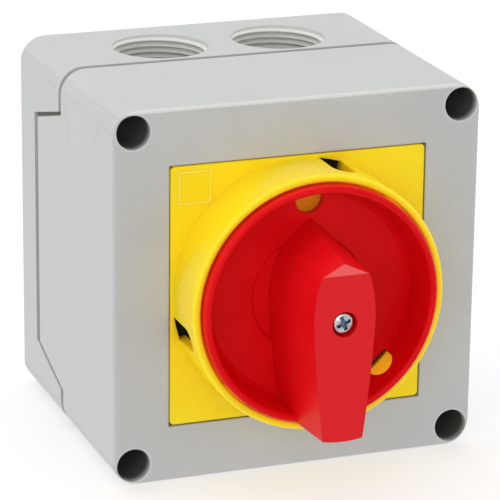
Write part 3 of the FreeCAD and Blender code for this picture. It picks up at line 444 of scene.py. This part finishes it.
MATERIALS = {
    "case_grey": case_plastic(),
    "gasket_black": gasket_rubber(),
    "zinc_screw": zinc_metal(),
    "yellow_plastic": yellow_plastic(),
    "red_plastic": red_plastic(),
    "shaft_steel": drawn_steel(),
    "block_plastic": filled_plastic("block_plastic", (0.018, 0.018, 0.02), (0.03, 0.03, 0.033), 0.5),
    "carrier_plastic": filled_plastic("carrier_plastic", (0.62, 0.58, 0.46), (0.70, 0.66, 0.55), 0.42),
    "cam_plastic": filled_plastic("cam_plastic", (0.72, 0.71, 0.66), (0.80, 0.79, 0.74), 0.35),
    "brass": stamped_metal("brass", (0.52, 0.36, 0.12), (0.74, 0.55, 0.22), 0.32),
    "copper": stamped_metal("copper", (0.55, 0.24, 0.12), (0.80, 0.42, 0.26), 0.3),
    "spring_steel": zinc_metal("spring_steel", (0.50, 0.50, 0.52)),
}

for part in RECORD["subparts"]:
    node = NODES[part["node"]]
    node.data.materials.clear()
    node.data.materials.append(MATERIALS[part["material_slot"]])


# ---------------------------------------------------------------------------
# Mesh helpers
# ---------------------------------------------------------------------------

def piece(name, bm, slot_name, body="enclosure", smooth=35.0):
    """Turn a bmesh into a piece that rides on a body and takes a slot's finish."""
    bmesh.ops.recalc_face_normals(bm, faces=bm.faces)
    mesh = bpy.data.meshes.new(name)
    bm.to_mesh(mesh)
    bm.free()
    made = bpy.data.objects.new(name, mesh)
    bpy.context.scene.collection.objects.link(made)
    mesh.materials.append(MATERIALS[slot_name])
    mesh.shade_smooth()
    mesh.set_sharp_from_angle(angle=math.radians(smooth))
    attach(made, body)
    return made


def mount(name):
    """The mount of the record that has this name."""
    return [m for m in RECORD["mounts"] if m["name"] == name][0]


def strip(bm, a, b, closed):
    """Faces between two rows of vertices, all the way round if the rows are closed."""
    count = len(a)
    for k in range(count if closed else count - 1):
        n = (k + 1) % count
        bm.faces.new((a[k], a[n], b[n], b[k]))


def tube(bm, rows):
    """Faces along closed rows of vertices, with an end on the first row and one on the last."""
    for a, b in zip(rows, rows[1:]):
        strip(bm, a, b, closed=True)
    bm.faces.new(rows[0])
    bm.faces.new(rows[-1])


def thread_rings(name, place, direction, major, depth, pitch, length):
    """A helical ridge standing in from the wall of a cable entry."""
    bm = bmesh.new()
    segments = 96
    turns = length / pitch - 1.1    # leaves the ends of the ridge inside the wall's thickness
    run_out = 20.0                  # segments over which each end of the ridge fades into the wall
    steps = int(segments * turns)
    root, foot, crest = major + 0.01 * MM, 0.46, 0.10
    profile = ((root, -foot), (major - depth, -crest), (major - depth, crest), (root, foot))
    rows = []
    for i in range(steps + 1):
        angle = 2 * math.pi * i / segments
        fade = min(1.0, i / run_out, (steps - i) / run_out)
        along = -length / 2 + pitch * (0.5 + i / segments)
        row = []
        for radius, offset in profile:
            reach = major - (major - radius) * fade
            height = along + offset * pitch
            row.append(bm.verts.new((place.x + reach * math.cos(angle),
                                     place.y + reach * math.sin(angle),
                                     place.z + direction * height)))
        rows.append(row)
    for a, b in zip(rows, rows[1:]):
        strip(bm, a, b, closed=False)
    piece(name, bm, "case_grey")


SEAL_REAR = 34.12 * MM      # the strip lies between the lips of base and cover
SEAL_FRONT = 35.98 * MM
SEAL_WIDTH = 1.2 * MM
SEAL_LAP = 8.0              # degrees that each bend runs on into the straight strips


def corner_seal(name, across, up, first):
    """The bend of the seam gasket round one corner post, which starts at an angle in degrees."""
    cover_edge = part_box("front_cover")[1].x
    seal_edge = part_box("cover_gasket")[1].x
    centre = cover_edge - CASE_BEND
    radius = CASE_BEND - (cover_edge - seal_edge)
    inner = radius - SEAL_WIDTH
    section = ((radius, SEAL_REAR), (radius, SEAL_FRONT), (inner, SEAL_FRONT), (inner, SEAL_REAR))
    sweep = 90.0 + 2 * SEAL_LAP
    bm = bmesh.new()
    steps = 16
    rows = []
    for i in range(steps + 1):
        angle = math.radians(first - SEAL_LAP + sweep * i / steps)
        rows.append([bm.verts.new((across * centre + reach * math.cos(angle), -depth,
                                   up * centre + reach * math.sin(angle))) for reach, depth in section])
    tube(bm, rows)
    piece(name, bm, "gasket_black")


for i, (across, up) in enumerate(((1, 1), (-1, 1), (-1, -1), (1, -1))):
    corner_seal("gasket_corner_%d" % (i + 1), across, up, 90.0 * i)


THREAD_DEPTH = 0.85 * MM
THREAD_PITCH = 1.5 * MM

for side in ("top_left", "top_right", "bottom_left", "bottom_right"):
    entry = mount("entry_" + side)
    thread_rings("thread_" + side, Vector(entry["pos_m"]), entry["axis"][2], entry["dims"]["r_mm"] * MM,
                 THREAD_DEPTH, THREAD_PITCH, entry["dims"]["length_mm"] * MM)


def recess_depth(x, z):
    """Depth share of a cross recess with small diagonal ticks, at a place on a unit head."""
    arm_half, arm_taper, arm_end = 0.20, 0.06, 0.70
    well_radius, floor_rise = 0.32, 0.45
    tick_half, tick_end, tick_depth = 0.045, 0.66, 0.3
    reach = math.hypot(x, z)
    long_way, across = max(abs(x), abs(z)), min(abs(x), abs(z))
    # each distance to an edge is divided by the width of the slanted wall there
    arm = min((arm_half - arm_taper * long_way - across) / 0.05, (arm_end - long_way) / 0.10)
    well = (well_radius - reach) / 0.06
    slant = abs(abs(x) - abs(z)) / math.sqrt(2)
    tick = min((tick_half - slant) / 0.025, (tick_end - reach) / 0.05)
    deep = max(0.0, min(1.0, max(arm, well)))
    shallow = max(0.0, min(1.0, tick)) * tick_depth
    return max(deep * (1.0 - floor_rise * long_way), shallow)


def threaded_rod(bm, place, radius, pitch, length):
    """A threaded shank from a place towards the wall."""
    spokes = 32
    profile = [(radius, 0.0)]
    for i in range(int(length / pitch)):
        start = i * pitch
        profile.append((radius * 0.86, start + 0.30 * pitch))
        profile.append((radius, start + 0.55 * pitch))
        profile.append((radius, start + 0.95 * pitch))
    profile.append((radius * 0.7, length))
    angles = [2 * math.pi * k / spokes for k in range(spokes)]
    rows = []
    for reach, back in profile:
        rows.append([bm.verts.new((place.x + reach * math.cos(angle), place.y + back,
                                   place.z + reach * math.sin(angle))) for angle in angles])
    tube(bm, rows)


SHANK_RADIUS = 1.5 * MM
SHANK_PITCH = 0.5 * MM
PAN_RADIUS = 2.75 * MM
PAN_HEIGHT = 2.05 * MM
PAN_SEAT = 108.02 * MM      # rise of the underside of the head, just clear of its seat
PAN_TURN = 22.0             # degrees that the recess is turned
RECESS_DEPTH = 1.2 * MM
SHANK_END = 88.05 * MM      # rise of the far end of the shank


def screw_head(name, place, radius, height, depth, turn, shank, slot_name, look, body):
    """A domed pan head with a cross recess, facing the front."""
    bm = bmesh.new()
    rings, spokes = 56, 168
    dome_fall, rim_start, rim_fall = 0.22, 0.86, 0.45
    centre = bm.verts.new((place.x, place.y - height + depth, place.z))
    rows = []
    for i in range(1, rings + 1):
        share = i / rings
        row = []
        for k in range(spokes):
            angle = 2 * math.pi * k / spokes
            x, z = share * math.cos(angle), share * math.sin(angle)
            rim = max(0.0, (share - rim_start) / (1.0 - rim_start))
            dome = height * (1.0 - dome_fall * share ** 2 - rim_fall * rim ** 2)
            level = dome - depth * recess_depth(x, z)
            across = radius * (x * math.cos(turn) - z * math.sin(turn))
            up = radius * (x * math.sin(turn) + z * math.cos(turn))
            row.append(bm.verts.new((place.x + across, place.y - level, place.z + up)))
        rows.append(row)
    for k in range(spokes):
        bm.faces.new((centre, rows[0][k], rows[0][(k + 1) % spokes]))
    rows.append([bm.verts.new((v.co.x, place.y, v.co.z)) for v in rows[-1]])
    for a, b in zip(rows, rows[1:]):
        strip(bm, a, b, closed=True)
    bm.faces.new(rows[-1])
    threaded_rod(bm, place, SHANK_RADIUS, SHANK_PITCH, shank)
    made = piece(name, bm, slot_name, body, smooth=50.0)
    made.data.materials.clear()
    made.data.materials.append(look)
    return made


def recessed_zinc(name, front, radius):
    """Bright zinc whose recess, below the dome, is painted a dark bluish shade."""
    s = Shade(name, 0.25, metallic=1.0)
    patch = s.noise(900.0, 3.0, 0.7)
    sunk = s.remap(s.rise(), front - 0.75 * MM, front - 0.45 * MM, 1.0, 0.0)
    sunk = s.both(sunk, s.remap(s.orbit(), 0.70 * radius, 0.78 * radius, 1.0, 0.0))
    tone = s.mix(s.remap(patch, 0.4, 0.7), (0.86, 0.87, 0.89), (0.60, 0.63, 0.68))
    # painted shade: the cross recess below the dome is darkened to a dark blue
    s.color(s.mix(sunk, tone, (0.16, 0.22, 0.30)))
    s.roughness(s.remap(patch, 0.3, 0.7, 0.16, 0.34))
    s.relief([(patch, 0.00006, 0.5)])
    return s.material


pan_front = -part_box("handle_screw")[0].y
pan_look = recessed_zinc("pan_head_zinc", pan_front, PAN_RADIUS)
pan = screw_head("handle_screw_pan", Vector((0.0, -PAN_SEAT, 0.0)), PAN_RADIUS, PAN_HEIGHT, RECESS_DEPTH,
                 math.radians(PAN_TURN), PAN_SEAT - SHANK_END, "zinc_screw", pan_look, "rotor")
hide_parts("handle_screw")


WIRE_RADIUS = 0.25 * MM


def contact_coil(pole):
    """A helical contact spring in place of the plain rings, at their size."""
    low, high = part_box("contact_spring_" + pole)
    middle = (low + high) / 2
    radius = (high.y - low.y) / 2 - WIRE_RADIUS
    start = low.x + WIRE_RADIUS
    run = high.x - low.x - 2 * WIRE_RADIUS
    turns, around, spokes = 4.5, 24, 8
    steps = int(turns * around)
    along = Vector((1.0, 0.0, 0.0))
    angles = [2 * math.pi * k / spokes for k in range(spokes)]
    bm = bmesh.new()
    rows = []
    for i in range(steps + 1):
        angle = 2 * math.pi * i / around
        out = Vector((0.0, math.cos(angle), math.sin(angle)))
        at = Vector((start + run * i / steps,
                     middle.y + radius * math.cos(angle), middle.z + radius * math.sin(angle)))
        spread = [math.cos(a) * out + math.sin(a) * along for a in angles]
        rows.append([bm.verts.new(at + WIRE_RADIUS * step) for step in spread])
    tube(bm, rows)
    made = piece("contact_coil_" + pole, bm, "spring_steel", smooth=60.0)
    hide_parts("contact_spring_" + pole)
    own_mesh(made)


for pole in ("l1", "l2", "l3", "neutral"):
    contact_coil(pole)


# ---------------------------------------------------------------------------
# Stage, light and camera
# ---------------------------------------------------------------------------

def square_sheet(name, half, level):
    """A flat square, with its centre on the upright axis."""
    bm = bmesh.new()
    corners = ((-half, -half), (half, -half), (half, half), (-half, half))
    bm.faces.new([bm.verts.new((x, y, level)) for x, y in corners])
    mesh = bpy.data.meshes.new(name)
    bm.to_mesh(mesh)
    bm.free()
    made = bpy.data.objects.new(name, mesh)
    bpy.context.scene.collection.objects.link(made)
    return made


FLOOR_HALF = 6.0
FLOOR_DROP = 0.1 * MM
floor = square_sheet("floor", FLOOR_HALF, START[0].z - FLOOR_DROP)
floor_look = Shade("floor_white", 0.9, specular=0.1)
floor_look.color(floor_look.mix(floor_look.noise(3.0), (0.50, 0.50, 0.50), (0.52, 0.52, 0.52)))
floor_look.shader.inputs["Emission Color"].default_value = (1.0, 1.0, 1.0, 1.0)
floor_look.shader.inputs["Emission Strength"].default_value = 0.48
floor.data.materials.append(floor_look.material)
# the floor glows as a lit photo table does. It is hidden from bounced, glossy and shadow rays, because
# it would otherwise keep the light of the world off the lower half of the enclosure
floor.visible_diffuse = False
floor.visible_glossy = False
floor.visible_shadow = False


LIT_SPOT = Vector((0.0, -0.06, 0.0))


def softbox(name, place, width, height, power):
    """A rectangular light that faces the middle of the switch, in metres and watts."""
    light = bpy.data.lights.new(name, "AREA")
    light.shape = "RECTANGLE"
    light.size = width
    light.size_y = height
    light.energy = power
    made = bpy.data.objects.new(name, light)
    bpy.context.scene.collection.objects.link(made)
    made.location = place
    made.rotation_mode = "QUATERNION"
    made.rotation_quaternion = (LIT_SPOT - Vector(place)).to_track_quat("-Z", "Y")


softbox("key", (-0.42, -1.1, 0.3), 1.3, 0.8, 4.6)
softbox("overhead", (-0.1, 0.1, 0.9), 0.9, 0.9, 1.6)
softbox("right_fill", (0.85, -0.6, 0.15), 0.45, 0.45, 0.6)
softbox("side_fill", (-0.95, 0.05, 0.2), 0.8, 0.8, 0.55)

# a white studio that is dimmer on the photographer's side
world = bpy.data.worlds.new("studio")
world.use_nodes = True
sky = world.node_tree
direction = sky.nodes.new("ShaderNodeTexCoord")
parts = sky.nodes.new("ShaderNodeSeparateXYZ")
sky.nodes["Background"].inputs["Color"].default_value = (1, 1, 1, 1)
sky.links.new(direction.outputs["Generated"], parts.inputs[0])
dimming = sky.nodes.new("ShaderNodeMapRange")
dimming.interpolation_type = "SMOOTHSTEP"
for name, number in (("From Min", -0.95), ("From Max", 0.1), ("To Min", 0.56), ("To Max", 1.06)):
    dimming.inputs[name].default_value = number
sky.links.new(parts.outputs["Y"], dimming.inputs["Value"])
sky.links.new(dimming.outputs["Result"], sky.nodes["Background"].inputs["Strength"])
bpy.context.scene.world = world
bpy.context.scene.view_settings.view_transform = "Standard"

# the camera looks down from the upper left, through a long lens and with a slight roll
CAMERA_PLACE = Vector((-0.25821, -0.73656, 0.23982))
CAMERA_FORWARD = Vector((0.33242792, 0.8904601, -0.31076116)).normalized()
CAMERA_ROLL = 0.012
CAMERA_LENS = 215.66
level = CAMERA_FORWARD.cross(Vector((0, 0, 1))).normalized()
upright = level.cross(CAMERA_FORWARD)
across = math.cos(CAMERA_ROLL) * level + math.sin(CAMERA_ROLL) * upright
above = math.cos(CAMERA_ROLL) * upright - math.sin(CAMERA_ROLL) * level
camera = bpy.data.objects.new("camera", bpy.data.cameras.new("camera"))
bpy.context.scene.collection.objects.link(camera)
turn = Matrix((across, above, -CAMERA_FORWARD)).transposed().to_4x4()
camera.matrix_world = Matrix.Translation(CAMERA_PLACE) @ turn
camera.data.sensor_width = 36.0
camera.data.lens = CAMERA_LENS
camera.data.clip_start = 0.01
camera.data.clip_end = 100.0
bpy.context.scene.camera = camera
